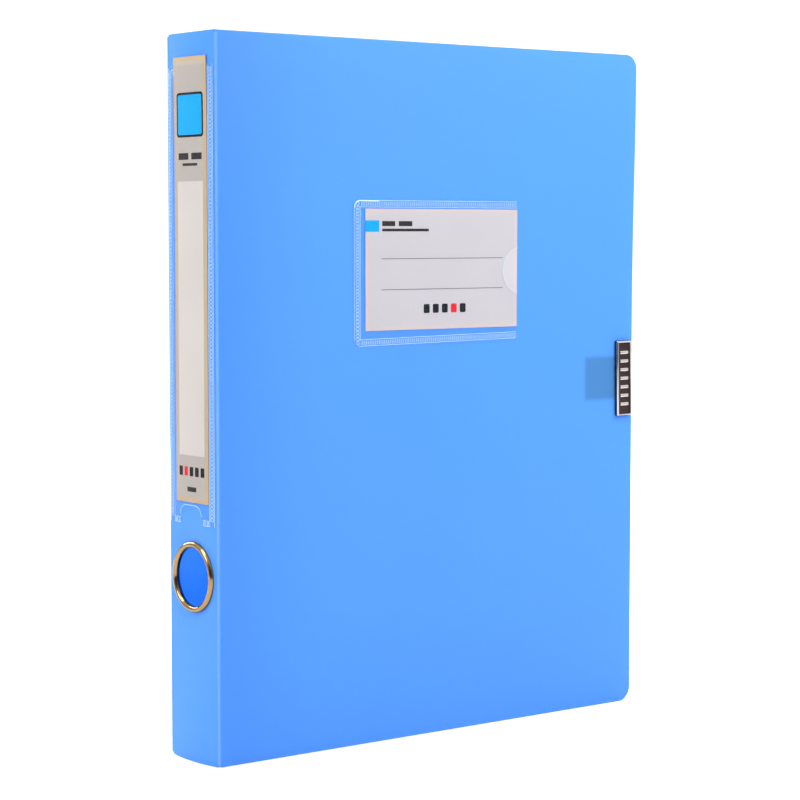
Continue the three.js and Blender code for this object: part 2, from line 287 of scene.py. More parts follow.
# Shared effect: the matte grain of pressed plastic sheet, and its slow unevenness
def makeSheetGrain():
    tree, given, result = newGroup("sheetGrain", {"Grain": 900.0, "Cloud": 9.0}, ["Height", "Tone"])
    place = objectPlace(tree)
    fine = addNoise(tree, place, given["Grain"], 3.0, rough=0.6)
    slow = addNoise(tree, place, given["Cloud"], 2.0)
    tree.links.new(fine, result["Height"])
    tree.links.new(mixTones(tree, 0.35, fine, slow), result["Tone"])
    return tree


# Shared effect: hairline polishing marks on bright metal
def makeHairlines():
    tree, given, result = newGroup("hairlines", {"Scale": 400.0, "Stretch": 12.0}, ["Mark"])
    at = placeAxes(tree)
    stretched = addNode(tree, "ShaderNodeCombineXYZ", Z=at["Z"])
    for axis in ("X", "Y"):
        tree.links.new(calc(tree, "MULTIPLY", at[axis], given["Stretch"]), stretched.inputs[axis])
    marks = addNoise(tree, stretched.outputs[0], given["Scale"], 4.0)
    tree.links.new(rampBetween(tree, marks, 0.4, 0.7), result["Mark"])
    return tree


# Shared effect: the fibres of uncoated card
def makeCardFibre():
    tree, given, result = newGroup("cardFibre", {"Scale": 1400.0, "Cloud": 40.0}, ["Height", "Tone"])
    place = objectPlace(tree)
    fibre = addNoise(tree, place, given["Scale"], 5.0, rough=0.7)
    cloud = addNoise(tree, place, given["Cloud"], 2.0)
    tree.links.new(fibre, result["Height"])
    tree.links.new(mixTones(tree, 0.4, fibre, cloud), result["Tone"])
    return tree


# Shared effect: slow clouding in pressed clear film
def makeFilmCloud():
    inputs = {"Scale": 60.0, "Least": 0.08, "Spread": 0.1}
    tree, given, result = newGroup("filmCloud", inputs, ["Roughness"])
    cloud = addNoise(tree, objectPlace(tree), given["Scale"], 3.0)
    level = calc(tree, "MULTIPLY_ADD", cloud, given["Spread"], given["Least"])
    tree.links.new(level, result["Roughness"])
    return tree


# Shared effect: the close weave under hooks and loops
def makeTapeWeave():
    tree, given, result = newGroup("tapeWeave", {"Scale": 2600.0, "Rib": 700.0}, ["Height"])
    place = objectPlace(tree)
    fuzz = addNoise(tree, place, given["Scale"], 4.0)
    ribs = addNode(tree, "ShaderNodeTexWave", bands_direction="Z", Vector=place, Scale=given["Rib"],
                   Distortion=1.5)
    tree.links.new(mixTones(tree, 0.35, ribs.outputs["Fac"], fuzz), result["Height"])
    return tree


# Translucent blue sheet
sheetSettings = {
    "colour": (0.10, 0.40, 0.97, 1),
    "shade": (0.08, 0.365, 0.95, 1),
    "whitened": (0.33, 0.60, 1.0, 1),
    # deep is the colour of the cover's painted shade towards its crease; the next three give its strength,
    # its reach and how far past the corner its ramp ends
    "deep": (0.062, 0.30, 0.93, 1),
    "creaseShadeShare": 0.75,
    "creaseShadeReach": 62,
    "creaseShadePast": 18.6,
    # colour of the painted light on the tray's inside faces
    "inside": (0.32, 0.645, 0.98, 1),
    # colour, strength, softness and shift of the hook pad's painted shadow on the cover
    "padShadowColour": (0.055, 0.245, 0.57, 1),
    "padShare": 0.85,
    "padSoft": 1.5,
    "padShift": (-0.7, 0, 0.5),
    "through": 0.35,
    "trayThrough": 0.55,
    "roughness": 0.46,
    "specular": 0.5,
    "bump": 0.06,
    "bumpDepth": 0.4,
    "grain": 900.0,
    "cloud": 9.0,
}


def sheetMaterial(name, colour="colour", through="through", cover=False, tray=False):
    look = sheetSettings
    material, tree, shader = newMaterial(name)
    grain = useGroup(tree, "sheetGrain", Grain=look["grain"], Cloud=look["cloud"])
    base = blendColour(tree, grain["Tone"], look["shade"], look[colour])
    if tray:
        # painted light on the faces inside the tray
        base = blendColour(tree, paintedTrayLight(tree), base, look["inside"])
    if cover:
        # painted shade: the cover darker towards its crease
        base = blendColour(tree, paintedCreaseShade(tree), base, look["deep"])
        # painted shadow of the hook pad behind the cover
        base = blendColour(tree, padShadow(tree), base, look["padShadowColour"])
    tree.links.new(base, shader.inputs["Base Color"])
    setBump(tree, shader, grain["Height"], look["bump"], look["bumpDepth"] * mm)
    setFinish(shader, look["roughness"], look["specular"])
    glow = addNode(tree, "ShaderNodeBsdfTranslucent", Color=base)
    mixShaders(tree, look[through], shader, glow)
    return material


def paintedTrayLight(tree):
    # painted light: behind the flaps the faces that look into the box are painted paler, for the light
    # bounced again and again between them in their own colour
    at = placeAxes(tree)
    half = sheetThickness / 2 * mm
    flaps = trayLow.y + 2 * sheetThickness * mm
    mask = calc(tree, "LESS_THAN", at["X"], trayHigh.x - half)
    for axis, low, high in (("Y", flaps, trayHigh.y), ("Z", trayLow.z, trayHigh.z)):
        mask = calc(tree, "MULTIPLY", mask, calc(tree, "GREATER_THAN", at[axis], low + half))
        mask = calc(tree, "MULTIPLY", mask, calc(tree, "LESS_THAN", at[axis], high - half))
    return mask


def paintedCreaseShade(tree):
    # painted shade: the cover is painted darker towards its crease, where the spine shades the inside
    far = cornerX + sheetSettings["creaseShadeReach"] * mm
    near = cornerX - sheetSettings["creaseShadePast"] * mm
    creaseShadeRamp = rampBetween(tree, placeAxes(tree)["X"], far, near)
    return calc(tree, "MULTIPLY", creaseShadeRamp, sheetSettings["creaseShadeShare"])


def padShadow(tree):
    # painted shadow: the hook pad bonded behind the cover shows through it, painted onto the cover as a
    # soft darker field
    shift = Vector(sheetSettings["padShift"]) * mm
    low, high = [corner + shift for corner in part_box("hook_pad")]
    soft = sheetSettings["padSoft"] * mm
    at = placeAxes(tree)
    mask = sheetSettings["padShare"]
    for axis, start, stop in (("X", low.x, high.x), ("Z", low.z, high.z)):
        mask = calc(tree, "MULTIPLY", rampBetween(tree, at[axis], start - soft, start + soft), mask)
        mask = calc(tree, "MULTIPLY", rampBetween(tree, at[axis], stop + soft, stop - soft), mask)
    return mask


# Clear film and its milky welds
filmSettings = {"gloss": 0.35, "bend": 1.45, "through": (0.984, 0.984, 0.988, 1)}
filmLooks = {
    "clearFilm": {"haze": 0.003, "colour": (0.3, 0.33, 0.38, 1), "cloud": 60.0,
                  "least": 0.08, "spread": 0.1},
    "weldFilm": {"haze": 0.02, "colour": (0.45, 0.65, 1.0, 1), "cloud": 60.0,
                 "least": 0.08, "spread": 0.1},
    "weldRidge": {"haze": 0.8, "colour": (0.58, 0.88, 1.0, 1), "cloud": 60.0,
                  "least": 0.08, "spread": 0.1},
}


def filmMaterial(name):
    look = filmLooks[name]
    material, tree, shader = newMaterial(name)
    shader.inputs["Base Color"].default_value = look["colour"]
    cloud = useGroup(tree, "filmCloud", Scale=look["cloud"], Least=look["least"], Spread=look["spread"])
    tree.links.new(cloud["Roughness"], shader.inputs["Roughness"])
    # the film's back faces don't shine, or the card behind it would look washed out
    shine = addNode(tree, "ShaderNodeFresnel", IOR=filmSettings["bend"]).outputs[0]
    behind = tree.nodes.new("ShaderNodeNewGeometry").outputs["Backfacing"]
    frontShine = calc(tree, "MULTIPLY", shine, oneMinus(tree, behind))
    share = calc(tree, "MULTIPLY_ADD", frontShine, filmSettings["gloss"], look["haze"])
    clear = addNode(tree, "ShaderNodeBsdfTransparent", Color=filmSettings["through"])
    mixShaders(tree, share, clear, shader)
    return material


# Uncoated card: its border takes a warmer tone that fades over reach millimetres
cardLooks = {
    "frontCard": {"node": "front_card", "light": (0.505, 0.487, 0.515, 1), "dark": (0.46, 0.44, 0.47, 1),
                  "edge": (0.59, 0.475, 0.415, 1), "edgeShare": 0.6, "reach": 3.0, "fibre": 1400.0},
    "spineCard": {"node": "spine_card", "light": (0.42, 0.383, 0.347, 1), "dark": (0.37, 0.336, 0.302, 1),
                  "edge": (0.50, 0.34, 0.15, 1), "edgeShare": 0.8, "reach": 3.4, "fibre": 1400.0},
}
cardSurface = {"roughness": 0.75, "specular": 0.2, "bump": 0.12, "bumpDepth": 0.1, "cloud": 40.0}


def cardMaterial(name):
    look = cardLooks[name]
    material, tree, shader = newMaterial(name)
    fibre = useGroup(tree, "cardFibre", Scale=look["fibre"], Cloud=cardSurface["cloud"])
    plain = blendColour(tree, fibre["Tone"], look["dark"], look["light"])
    low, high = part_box(look["node"])
    at = placeAxes(tree)
    width = ("X", low.x, high.x) if high.x - low.x > high.y - low.y else ("Y", low.y, high.y)
    inside = 1.0
    for axis, start, stop in (width, ("Z", low.z, high.z)):
        for edge, way in ((start, 1), (stop, -1)):
            away = rampBetween(tree, at[axis], edge, edge + way * look["reach"] * mm)
            inside = calc(tree, "MULTIPLY", away, inside)
    border = calc(tree, "MULTIPLY", oneMinus(tree, inside), look["edgeShare"])
    tree.links.new(blendColour(tree, border, plain, look["edge"]), shader.inputs["Base Color"])
    setBump(tree, shader, fibre["Height"], cardSurface["bump"], cardSurface["bumpDepth"] * mm)
    setFinish(shader, cardSurface["roughness"], cardSurface["specular"])
    return material


# Inks: each turns a little paler with the card's fibres
inkSettings = {
    "height": 0.025,
    "sink": 0.02,
    "paler": 1.18,
    "lift": 0.01,
    "roughness": 0.6,
    "specular": 0.06,
    "fibre": 1400.0,
    "cloud": 40.0,
}
inkColours = {
    "inkBlue": (0.0, 0.30, 0.64, 1),
    "inkText": (0.02, 0.018, 0.018, 1),
    "inkRule": (0.16, 0.15, 0.16, 1),
    "inkDark": (0.006, 0.008, 0.01, 1),
    "inkRed": (0.62, 0.012, 0.02, 1),
    "inkWhite": (0.495, 0.46, 0.43, 1),
}
inkNames = list(inkColours)


def inkMaterial(name, colour):
    material, tree, shader = newMaterial(name)
    fibre = useGroup(tree, "cardFibre", Scale=inkSettings["fibre"], Cloud=inkSettings["cloud"])
    paler = tuple(min(1.0, c * inkSettings["paler"] + inkSettings["lift"]) for c in colour[:3]) + (1,)
    tree.links.new(blendColour(tree, fibre["Tone"], colour, paler), shader.inputs["Base Color"])
    setFinish(shader, inkSettings["roughness"], inkSettings["specular"])
    return material


# Metals: brass of the ring, bright plating of the clasp, and the clasp's side walls darkened as painted
# shade
metalLooks = {
    "brass": {"colour": (0.385, 0.245, 0.105, 1), "worn": (0.33, 0.2, 0.08, 1), "smoothest": 0.09,
              "roughest": 0.2, "marks": 400.0, "stretch": 12.0},
    "chrome": {"colour": (0.68, 0.63, 0.64, 1), "worn": (0.58, 0.53, 0.54, 1), "smoothest": 0.07,
               "roughest": 0.16, "marks": 400.0, "stretch": 12.0},
    # the clasp's side walls: painted shade, dark where the plate's side stands in shadow beside the cover
    "claspSidePaintedShade": {"colour": (0.09, 0.09, 0.12, 1), "worn": (0.06, 0.06, 0.08, 1), "smoothest": 0.25,
                  "roughest": 0.4, "marks": 400.0, "stretch": 12.0},
}


def metalMaterial(name):
    look = metalLooks[name]
    material, tree, shader = newMaterial(name)
    mark = useGroup(tree, "hairlines", Scale=look["marks"], Stretch=look["stretch"])["Mark"]
    tree.links.new(blendColour(tree, mark, look["colour"], look["worn"]), shader.inputs["Base Color"])
    rough = calc(tree, "MULTIPLY_ADD", mark, look["roughest"] - look["smoothest"], look["smoothest"])
    tree.links.new(rough, shader.inputs["Roughness"])
    shader.inputs["Metallic"].default_value = 1.0
    return material


# Hook and loop tapes
tapeLooks = {
    "hookTape": {"light": (0.12, 0.17, 0.32, 1), "dark": (0.05, 0.08, 0.2, 1), "fuzz": 2600.0,
                 "rib": 700.0},
    "loopTape": {"light": (0.16, 0.22, 0.38, 1), "dark": (0.07, 0.1, 0.24, 1), "fuzz": 2600.0,
                 "rib": 700.0},
}
tapeSurface = {"roughness": 0.95, "bump": 0.6, "bumpDepth": 0.3}


def tapeMaterial(name):
    look = tapeLooks[name]
    material, tree, shader = newMaterial(name)
    height = useGroup(tree, "tapeWeave", Scale=look["fuzz"], Rib=look["rib"])["Height"]
    tree.links.new(blendColour(tree, height, look["dark"], look["light"]), shader.inputs["Base Color"])
    setBump(tree, shader, height, tapeSurface["bump"], tapeSurface["bumpDepth"] * mm)
    shader.inputs["Roughness"].default_value = tapeSurface["roughness"]
    return material


# A shape collects solids and becomes one piece; a mirrored one turns its faces the other way round
class Shape:
    def __init__(self, mirrored=False):
        self.points = []
        self.faces = []
        self.slots = []
        self.mirrored = mirrored

    def add(self, points, faces, slots=0):
        start = len(self.points)
        self.points.extend(points)
        for face in faces:
            moved = [start + i for i in face]
            self.faces.append(moved[::-1] if self.mirrored else moved)
        self.slots.extend(slots if isinstance(slots, list) else [slots] * len(faces))


def finishPiece(shape, name, materialNames, body, sharp=35, bevel=None):
    mesh = bpy.data.meshes.new(name)
    mesh.from_pydata([tuple(p) for p in shape.points], [], shape.faces)
    for materialName in materialNames:
        mesh.materials.append(materials[materialName])
    mesh.polygons.foreach_set("material_index", shape.slots)
    shadeMesh(mesh, sharp)
    piece = bpy.data.objects.new(name, mesh)
    bpy.context.scene.collection.objects.link(piece)
    if bevel:
        edge = piece.modifiers.new("cutEdge", "BEVEL")
        edge.width = bevel * mm
        edge.segments = 2
        edge.limit_method = "ANGLE"
        edge.angle_limit = math.radians(50)
        edge.harden_normals = True
    if body:
        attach(piece, body)
    return piece


def shadeMesh(mesh, sharp):
    mesh.polygons.foreach_set("use_smooth", [True] * len(mesh.polygons))
    mesh.update()
    mesh.set_sharp_from_angle(angle=math.radians(sharp))


def onCover(x, z, out):
    # a place on the cover, out is the height above its outer face
    return Vector((cornerX + x * mm, cornerY - (out + coverLift(x, z)) * mm, z * mm))


def onSpine(y, z, out):
    return Vector((cornerX - (out + spineBow(y, z)) * mm, cornerY + y * mm, z * mm))


def slab(shape, across, along, outline, outer, inner, place, slot=0, rimSlot=None, slotAt=None):
    # closed sheet over the grid across x along; outline bends the grid, outer and inner are its faces
    columns, rows = len(across), len(along)
    grid = [outline(s, t) for t in along for s in across]
    points = [place(u, v, outer(u, v)) for u, v in grid] + [place(u, v, inner(u, v)) for u, v in grid]
    size = columns * rows
    faces, slots = [], []
    for j in range(rows - 1):
        for i in range(columns - 1):
            a = j * columns + i
            faces.append([a, a + 1, a + 1 + columns, a + columns])
            faces.append([size + a + columns, size + a + columns + 1, size + a + 1, size + a])
            corner, opposite = grid[a], grid[a + 1 + columns]
            own = slotAt((corner[0] + opposite[0]) / 2, (corner[1] + opposite[1]) / 2) if slotAt else slot
            slots += [own, own]
    ring = list(range(columns - 1))
    ring += [j * columns + columns - 1 for j in range(rows - 1)]
    ring += [(rows - 1) * columns + i for i in range(columns - 1, 0, -1)]
    ring += [j * columns for j in range(rows - 1, 0, -1)]
    for a, b in zip(ring, ring[1:] + ring[:1]):
        faces.append([b, a, size + a, size + b])
        slots.append(slot if rimSlot is None else rimSlot)
    shape.add(points, faces, slots)


def ovalRing(shape, u, v, halfU, halfV, tube, base, place, lean=0.0, steps=16, sides=6):
    points = []
    faces = []
    for i in range(steps):
        turn = 2 * math.pi * i / steps
        for k in range(sides):
            roll = 2 * math.pi * k / sides
            reach = tube * math.cos(roll)
            du = (halfU + reach) * math.cos(turn)
            dv = (halfV + reach) * math.sin(turn)
            points.append(place(u + du + lean * dv, v + dv, base + tube * math.sin(roll)))
    for i in range(steps):
        for k in range(sides):
            a, b = i * sides + k, ((i + 1) % steps) * sides + k
            c, d = ((i + 1) % steps) * sides + (k + 1) % sides, i * sides + (k + 1) % sides
            faces.append([a, b, c, d])
    shape.add(points, faces)


beadSection = ((-0.5, -0.3), (-0.42, 0.55), (-0.18, 0.95), (0.18, 0.95), (0.42, 0.55), (0.5, -0.3))


def bead(shape, route, width, height, base, place):
    # half-round ridge along a route of (u, v) points
    points = []
    for i, (u, v) in enumerate(route):
        before, after = route[max(0, i - 1)], route[min(len(route) - 1, i + 1)]
        du, dv = after[0] - before[0], after[1] - before[1]
        length = math.hypot(du, dv)
        for side, rise in beadSection:
            points.append(place(u - dv / length * side * width, v + du / length * side * width,
                                base + rise * height))
    sides = len(beadSection)
    faces = []
    for i in range(len(route) - 1):
        for k in range(sides):
            a, b = i * sides + k, i * sides + (k + 1) % sides
            faces.append([a + sides, b + sides, b, a])
    last = (len(route) - 1) * sides
    faces.append(list(range(sides)))
    faces.append([last + k for k in range(sides)][::-1])
    shape.add(points, faces)


def flat(value):
    return lambda u, v: value


def straight(left, foot, right, head):
    return lambda s, t: (left + (right - left) * s, foot + (head - foot) * t)


# Cover: the free corner at the head springs open a little
coverSettings = {
    "lift": 2.0,
    "liftAcross": (110, 250),
    "liftUp": (170, 305),
    "liftCurve": 1.5,
    "cornerRadius": 6.5,
    "creaseEdge": 1.3,
    "creaseRun": 0.9,
    "creaseSheet": 0.5,
    "edge": 0.16,
}


def coverLift(x, z):
    up = smooth(*coverSettings["liftUp"], z) ** coverSettings["liftCurve"]
    return coverSettings["lift"] * smooth(*coverSettings["liftAcross"], x) * up


def creaseInner(distance):
    # the sheet is scored thin from inside at a crease
    start = coverSettings["creaseEdge"]
    thin = coverSettings["creaseSheet"]
    return -thin - (sheetThickness - thin) * smooth(start, start + coverSettings["creaseRun"], distance)


def makeCover():
    radius = coverSettings["cornerRadius"]
    left = coverSettings["creaseEdge"]
    arc = cornerSteps(radius, 9)
    heights = [panelFoot + d for d in arc] + spread(panelFoot + radius, panelHead - radius, 56)[1:-1]
    heights += [panelHead - d for d in reversed(arc)]
    across = [0, 0.0006, 0.0012, 0.002, 0.003, 0.005, 0.02] + spread(0.04, 1, 44)  # finest at the crease

    def outline(s, z):
        reach = boxDepth - cornerInset(radius, min(z - panelFoot, panelHead - z))
        return left + (reach - left) * s, z

    shape = Shape()
    slab(shape, across, heights, outline, flat(0), lambda x, z: creaseInner(x), onCover)
    piece = finishPiece(shape, "coverSheet", ["coverBlue"], "cover",
                        bevel=coverSettings["edge"])
    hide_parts("front_cover")


# Spine: bowed a little outwards between its creases, flat where the ring grips it
spineSettings = {
    "bowFoot": 1.9,
    "bowMiddle": 0.7,
    "bowHead": 0.9,
    "footReach": 55,
    "headReach": 60,
    "flatRadius": 15.5,
    "flatFade": 9,
    "holeRadius": 13.85,
    "holeSteps": 96,
}
ringLow, ringHigh = boxOf("finger_ring")
ringY = (ringLow[1] + ringHigh[1]) / 2
ringZ = (ringLow[2] + ringHigh[2]) / 2
ringRadius = (ringHigh[1] - ringLow[1]) / 2


def spineBow(y, z):
    foot = 1 - smooth(0, spineSettings["footReach"], z)
    head = smooth(boxHeight - spineSettings["headReach"], boxHeight, z)
    tall = spineSettings["bowMiddle"]
    tall += (spineSettings["bowFoot"] - tall) * foot + (spineSettings["bowHead"] - tall) * head
    half = boxWidth / 2
    across = max(0.0, 1 - ((y - half) / (half - coverSettings["creaseEdge"])) ** 2)
    away = math.hypot(y - ringY, z - ringZ) - spineSettings["flatRadius"]
    return tall * across * smooth(0, spineSettings["flatFade"], away)


def cutRingHole(piece, reach=8):
    # a round hole through the spine, cut along x
    radius, steps = spineSettings["holeRadius"], spineSettings["holeSteps"]
    points = []
    for x in (-reach, reach):
        for i in range(steps):
            turn = 2 * math.pi * i / steps
            points.append((cornerX + x * mm, cornerY + (ringY + radius * math.cos(turn)) * mm,
                           (ringZ + radius * math.sin(turn)) * mm))
    faces = [[i, (i + 1) % steps, steps + (i + 1) % steps, steps + i] for i in range(steps)]
    faces.append(list(range(steps))[::-1])
    faces.append([steps + i for i in range(steps)])
    mesh = bpy.data.meshes.new("cutter")
    mesh.from_pydata(points, [], faces)
    tool = bpy.data.objects.new("cutter", mesh)
    bpy.context.scene.collection.objects.link(tool)
    cut = piece.modifiers.new("hole", "BOOLEAN")
    cut.object = tool
    cut.solver = "EXACT"
    bpy.context.view_layer.update()
    ready = piece.evaluated_get(bpy.context.evaluated_depsgraph_get())
    done = bpy.data.meshes.new_from_object(ready)
    piece.modifiers.clear()
    piece.data = done
    bpy.data.objects.remove(tool)


def makeSpine():
    near, far = coverSettings["creaseEdge"], boxWidth - coverSettings["creaseEdge"]
    crease = [0, 0.25, 0.5, 0.8, 1.2]
    ys = [near + d for d in crease] + spread(near + 2.5, far - 2.5, 22)
    ys += [far - d for d in reversed(crease)]
    shape = Shape(mirrored=True)
    slab(shape, ys, spread(panelFoot, panelHead, 110), lambda y, z: (y, z), flat(0),
         lambda y, z: creaseInner(min(y, boxWidth - y)), onSpine)
    piece = finishPiece(shape, "spineSheet", ["spineBlue"], None)
    cutRingHole(piece)
    shadeMesh(piece.data, 35)
    print("spine cut,", len(piece.data.polygons), "faces")
    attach(piece, "spine")
    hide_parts("spine_panel")


# Creases: thin whitened webs round the corners where the sheets fold
webSettings = {
    "outerRadius": 0.4,
    "innerRadius": 0.12,
    "thickness": 0.42,
    "tail": 0.3,
    "tailDepth": 0.05,
    "tailThickness": 0.36,
    "ease": (0.02, 0.05, 0.2),
    "whiteReach": 0.62,
    "rows": 60,
    "notch": 0.7,
    "bendNear": 0.15,
    "bendFar": 1.1,
}


def makeCrease(name, place, mirrored=False):
    # section from one sheet's lip round the corner to the other's; place maps (a, b) from the corner
    w = webSettings
    edge, thickness, white = coverSettings["creaseEdge"], w["thickness"], w["whiteReach"]
    tail, depth = edge + w["tail"], w["tailDepth"]
    past, before, land = w["ease"]
    outer = [(depth, tail), (depth, edge + past), (0, edge - before), (0, white)]
    inner = [(depth + w["tailThickness"], tail), (thickness, edge), (thickness, edge - land)]
    inner.append((thickness, white + past))
    for corner, radius, line in ((0, w["outerRadius"], outer), (thickness, w["innerRadius"], inner)):
        centre = corner + radius
        for i in range(9):
            turn = math.radians(90 * i / 8)
            line.append((centre - radius * math.cos(turn), centre - radius * math.sin(turn)))
        line += [(b, a) for a, b in line[3::-1]]
    section = outer + inner[::-1]
    count = len(section)
    bent = range(3, len(outer) - 4)  # the stretch round the corner, whitened by bending
    heights = spread(panelFoot + w["notch"], panelHead - w["notch"], w["rows"])
    points = [place(a, b, z) for z in heights for a, b in section]
    faces, slots = [], []
    for j in range(len(heights) - 1):
        for k in range(count):
            a, b = j * count + k, j * count + (k + 1) % count
            faces.append([a, b, b + count, a + count])
            slots.append(1 if k in bent else 0)
    last = (len(heights) - 1) * count
    for k in range(len(outer) - 1):
        cap = [k, k + 1, count - 2 - k, count - 1 - k]
        faces += [cap[::-1], [last + i for i in cap]]
        slots += [0, 0]
    shape = Shape(mirrored)
    shape.add(points, faces, slots)
    piece = finishPiece(shape, name, ["spineBlue", "creaseBlue"], None, sharp=50)
    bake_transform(piece)


def makeCreases():
    def front(a, b, z):
        return (cornerX + a * mm, cornerY + b * mm, z * mm)

    def back(a, b, z):
        return (cornerX + a * mm, cornerY + (boxWidth - b) * mm, z * mm)

    makeCrease("frontCrease", front)
    makeCrease("backCrease", back, True)


# Pockets: a film raised off the sheet inside a pressed weld, and the weld's knurling
stepLines = (-0.1, 0, 0.12, 0.24, 0.36)  # grid lines over the step beside a weld
weldReach = 0.1  # the weld's milky look runs this far up the step


def finishFilm(shape, name, body, node):
    film = finishPiece(shape, name, ["clearFilm", "weldFilm"], body, sharp=60)
    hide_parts(node)


# Pocket on the cover: its foot seam runs down a little towards the spine
frontPocketSettings = {
    "film": 0.25, "seat": 0.05, "raise": 0.5, "step": 0.35,
    "bulge": 0.14, "bulgeAcross": 20, "bulgeUp": 14,
    "slope": 1.3, "slopeFade": (4, 16),
    "corner": 3.0, "notchDepth": 8.8, "notchHeight": 20.6,
    "weld": 3.8, "ridge": 0.12,
    "ovalLine": 2.25, "ovalEnds": 3, "ovalPitch": 1.38, "ovalLong": 0.95, "ovalShort": 0.58,
    "seamLine": 2.0, "hatchStart": 4, "hatchStop": 2.5, "hatchPitch": 1.2,
    "hatchLong": 1.8, "hatchLean": 0.12, "hatchWide": 0.38, "hatchRise": 0.13,
    "edgeOff": 1.4, "edgeStart": 3, "edgeStop": 0.6, "edgeWide": 0.22, "edgeRise": 0.14,
    "endOvals": (2.4, 1.6), "endOval": 0.75,
    "sideEdges": (0.45, 3.7),
    "curl": {"middle": 3.6, "radius": 2.9, "tail": ((14, 0.75), (8, 0.7)), "wide": 0.6, "rise": 0.2},
    "lip": {"off": 0.12, "inside": 9, "wide": 0.16, "rise": 0.06},
}


def makeFrontPocket():
    p = frontPocketSettings
    low, high = boxOf("front_pocket_film")
    left, right, foot, head = low[0], high[0], low[2], high[2]
    middle = (foot + head) / 2
    half = p["notchHeight"] / 2
    radius = (half ** 2 + p["notchDepth"] ** 2) / (2 * p["notchDepth"])

    def sloped(x, z):
        # the foot seam's slope, fading out upwards
        fade = 1 - smooth(*[foot + rise for rise in p["slopeFade"]], z)
        return z - p["slope"] * (right - x) / (right - left) * fade

    def mouth(z):
        away = abs(z - middle)
        if away >= half:
            return right
        return right - p["notchDepth"] + radius - math.sqrt(radius ** 2 - away ** 2)

    def inWeld(x, z):
        return min(x - left, z - foot, head - z) - p["weld"]

    def outer(x, z):
        crown = smooth(0, p["bulgeAcross"], x - left)
        crown *= smooth(0, p["bulgeUp"], z - foot) * smooth(0, p["bulgeUp"], head - z)
        return p["seat"] + p["film"] + p["raise"] * smooth(0, p["step"], inWeld(x, z)) + p["bulge"] * crown

    def onPocket(x, z, out):
        return onCover(x, sloped(x, z), out)

    def outline(s, z):
        side = left + cornerInset(p["corner"], min(z - foot, head - z))
        return side + (mouth(z) - side) * s, z

    arc = cornerSteps(p["corner"], 15)
    step = [p["weld"] + d for d in stepLines]
    heights = [foot + d for d in arc + step]
    heights += spread(foot + p["weld"] + 1.2, middle - half, 12)
    heights += [middle - half * math.cos(math.radians(a)) for a in range(6, 180, 6)]
    heights += spread(middle + half, head - p["weld"] - 1.2, 6)
    heights += [head - d for d in reversed(arc + step)]
    columns = [0, 0.5, 1.5, 3] + step + spread(p["weld"] + 1.5, right - left, 26)
    shape = Shape()
    slab(shape, [c / (right - left) for c in columns], heights, outline, outer,
         lambda x, z: outer(x, z) - p["film"], onPocket, rimSlot=1,
         slotAt=lambda x, z: int(inWeld(x, z) < weldReach))
    finishFilm(shape, "frontPocketFilm", "cover", "front_pocket_film")

    welds = Shape()
    top = p["seat"] + p["film"]
    for z in evenly(foot + p["ovalEnds"], head - p["ovalEnds"], p["ovalPitch"]):
        ovalRing(welds, left + p["ovalLine"], z, p["ovalLong"], p["ovalShort"], p["ridge"], top, onPocket)
    for seam in (foot + p["seamLine"], head - p["seamLine"]):
        reach, lean = p["hatchLong"] / 2, p["hatchLean"]
        for x in evenly(left + p["hatchStart"], right - p["hatchStop"], p["hatchPitch"]):
            stroke = [(x - lean, seam - reach), (x + lean, seam + reach)]
            bead(welds, stroke, p["hatchWide"], p["hatchRise"], top, onPocket)
        for z in (seam - p["edgeOff"], seam + p["edgeOff"]):
            route = [(x, z) for x in spread(left + p["edgeStart"], right - p["edgeStop"], 12)]
            bead(welds, route, p["edgeWide"], p["edgeRise"], top, onPocket)
        for x in (left + p["endOvals"][0], right - p["endOvals"][1]):
            ovalRing(welds, x, seam, p["endOval"], p["endOval"], p["ridge"], top, onPocket)
    for edge in p["sideEdges"]:
        route = [(left + edge, z) for z in spread(foot + p["edgeStart"], head - p["edgeStart"], 16)]
        bead(welds, route, p["edgeWide"], p["edgeRise"], top, onPocket)
    curl = p["curl"]
    route = [(left + across, head - down) for across, down in curl["tail"]]
    for a in range(90, 181, 10):
        across, up = curl["radius"] * math.cos(math.radians(a)), curl["radius"] * math.sin(math.radians(a))
        route.append((left + curl["middle"] + across, head - curl["middle"] + up))
    bead(welds, route, curl["wide"], curl["rise"], top, onPocket)
    lip = [middle - half * math.cos(math.radians(a)) for a in range(4, 177, 4)]
    bead(welds, [(mouth(z) - p["lip"]["off"], z) for z in lip], p["lip"]["wide"], p["lip"]["rise"],
         outer(right - p["lip"]["inside"], middle), onPocket)
    finishPiece(welds, "frontPocketWelds", ["weldRidge"], "cover", sharp=60)


# Pocket on the spine: open at the head, with a thumb notch at the foot
spinePocketSettings = {
    "film": 0.25, "seat": 0.05, "raise": 0.55, "step": 0.35, "mouth": 0.25, "mouthReach": 34,
    "spareNear": 0.4, "spareFar": 0.6,
    "weldNear": 3.9, "weldFar": 3.8, "return": 3.0, "ridge": 0.12,
    "notchWidth": 16.2, "notchHeight": 8.4, "notchRadius": 4.6,
    "ovalPitch": 1.6, "ovalLong": 1.0, "ovalShort": 0.68, "ovalStart": 2.5, "ovalStop": 1.5,
    "near": {"line": 1.95, "lean": 0.3, "edges": (0.3, 3.6)},
    "far": {"line": 1.35, "lean": 0.0, "edges": (0.3, 3.5)},
    "edgeStart": 0.4, "edgeStop": 0.3, "edgeWide": 0.2, "edgeRise": 0.12,
    "footEdges": (0.4, 2.6), "footEdgeWide": 0.22, "footLine": 1.5, "footOval": (0.55, 0.75),
    "lipWide": 0.2, "lipRise": 0.08,
}


